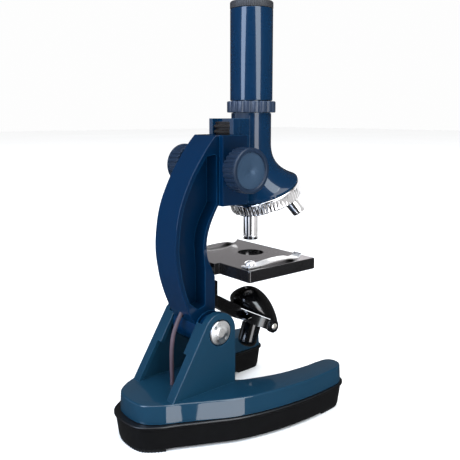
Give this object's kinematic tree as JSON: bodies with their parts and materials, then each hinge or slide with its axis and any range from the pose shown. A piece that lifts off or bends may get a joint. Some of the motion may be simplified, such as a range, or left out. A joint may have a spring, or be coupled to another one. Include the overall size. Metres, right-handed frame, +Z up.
{
  "type": "microscope",
  "caption": "Student microscope: horseshoe base, inclinable arm, rack focusing with side knobs, revolving nosepiece, square stage with clips, draw tube and battery lamp.",
  "frame": {"origin": "centre of the bounding box's underside, at table level", "axes": "+Z up; +Y from the user's side towards the prongs of the base; +X towards the right-hand focus knob"},
  "size_m": [0.0864, 0.12, 0.22],
  "materials": {
    "arm_enamel": "glossy deep blue enamel",
    "body_enamel": "glossy dark teal-blue enamel",
    "tube_plastic": "glossy dark teal-blue",
    "knob_plastic": "semi-gloss slate blue with a turned face",
    "black_plastic": "semi-matte black",
    "lamp_plastic": "gloss black",
    "stage_enamel": "satin black enamel on die-cast aluminium",
    "rack_black": "black-brown",
    "rubber": "ribbed",
    "lead_sleeve": "soft vinyl sleeve",
    "zinc_steel": "satin zinc plate",
    "chrome": "bright plate",
    "brass": "plain",
    "optical_glass": "clear polished",
    "blue_glass": "clear deep blue",
    "grey_plastic": "knurled dark grey",
    "battery_sleeve": "printed sleeve, left plain"
  },
  "bodies": {
    "base": {"base_casting": "body_enamel", "base_plinth": "black_plastic", "battery_cover": "black_plastic", "battery_cover_screw": "zinc_steel", "base_screw_1": "zinc_steel", "base_screw_2": "zinc_steel", "base_screw_3": "zinc_steel", "base_screw_4": "zinc_steel", "foot_back": "rubber", "foot_right": "rubber", "foot_left": "rubber", "battery_a": "battery_sleeve", "battery_b": "battery_sleeve", "battery_contact_plate": "zinc_steel", "battery_contact_bridge": "zinc_steel", "battery_contact_leaf": "zinc_steel", "lead_wire": "lead_sleeve", "pivot_bolt": "zinc_steel", "pivot_nut": "zinc_steel", "friction_washer_right": "black_plastic", "friction_washer_left": "black_plastic"},
    "arm": {"arm": "arm_enamel", "lamp_bracket": "lamp_plastic", "bracket_screw": "zinc_steel", "stage_plate": "stage_enamel", "stage_pin_right": "zinc_steel", "stage_pin_left": "zinc_steel", "clip_screw_right": "chrome", "clip_screw_left": "chrome", "lamp_pin_right": "brass", "lamp_pin_left": "brass"},
    "clip_right": {"stage_clip_right": "chrome"},
    "clip_left": {"stage_clip_left": "chrome"},
    "pinion": {"pinion_shaft": "zinc_steel", "focus_knob_right": "knob_plastic", "focus_knob_left": "knob_plastic"},
    "tube": {"body_tube": "tube_plastic", "rack": "rack_black", "rack_screw_low": "zinc_steel", "rack_screw_high": "zinc_steel", "nosepiece_screw": "zinc_steel"},
    "turret": {"nosepiece": "chrome", "objective_long": "chrome", "objective_long_lens": "optical_glass", "objective_short": "chrome", "objective_short_lens": "optical_glass", "objective_middle": "chrome", "objective_middle_lens": "optical_glass"},
    "ring": {"lock_ring": "knob_plastic"},
    "draw": {"draw_tube": "tube_plastic"},
    "eyepiece": {"eyepiece": "grey_plastic", "eye_lens": "optical_glass", "field_lens": "optical_glass"},
    "lamp": {"lamp_drum": "lamp_plastic", "lamp_dome": "lamp_plastic", "lamp_socket": "lamp_plastic", "bulb": "optical_glass", "blue_filter": "blue_glass"}
  },
  "joints": [
    {"name": "arm_incline", "type": "hinge", "parent": "base", "child": "arm", "pos_m": [0, -0.01306, 0.0522], "axis": [1, 0, 0], "range_deg": [0, 45], "deforming": ["lead_wire"]},
    {"name": "tube_lift", "type": "slide", "parent": "arm", "child": "tube", "axis": [0, 0, 1], "range_m": [-0.004, 0.012]},
    {"name": "focus_turn", "type": "hinge", "parent": "arm", "child": "pinion", "pos_m": [0, -0.00126, 0.1338], "axis": [1, 0, 0], "range_deg": [-51, 153]},
    {"name": "nosepiece_turn", "type": "hinge", "parent": "tube", "child": "turret", "pos_m": [0, 0.03262, 0.12011], "axis": [0, -0.3746, 0.9272], "continuous": true},
    {"name": "lock_ring_turn", "type": "hinge", "parent": "tube", "child": "ring", "pos_m": [0, 0.02344, 0.1651], "axis": [0, 0, 1], "range_deg": [0, 90]},
    {"name": "draw_tube_slide", "type": "slide", "parent": "tube", "child": "draw", "axis": [0, 0, 1], "range_m": [0, 0.02]},
    {"name": "eyepiece_lift", "type": "slide", "parent": "draw", "child": "eyepiece", "axis": [0, 0, 1], "range_m": [0, 0.02]},
    {"name": "clip_right_swivel", "type": "hinge", "parent": "arm", "child": "clip_right", "pos_m": [0.026, -0.00006, 0.085], "axis": [0, 0, 1], "range_deg": [-20, 45]},
    {"name": "clip_left_swivel", "type": "hinge", "parent": "arm", "child": "clip_left", "pos_m": [-0.026, -0.00006, 0.085], "axis": [0, 0, 1], "range_deg": [-45, 20]},
    {"name": "lamp_tilt", "type": "hinge", "parent": "arm", "child": "lamp", "pos_m": [0, 0.02544, 0.0462], "axis": [1, 0, 0], "range_deg": [-45, 0]}
  ],
  "couplings": [
    {"joint": "focus_turn", "follows": "tube_lift", "rad_per_m": 222.22}
  ]
}
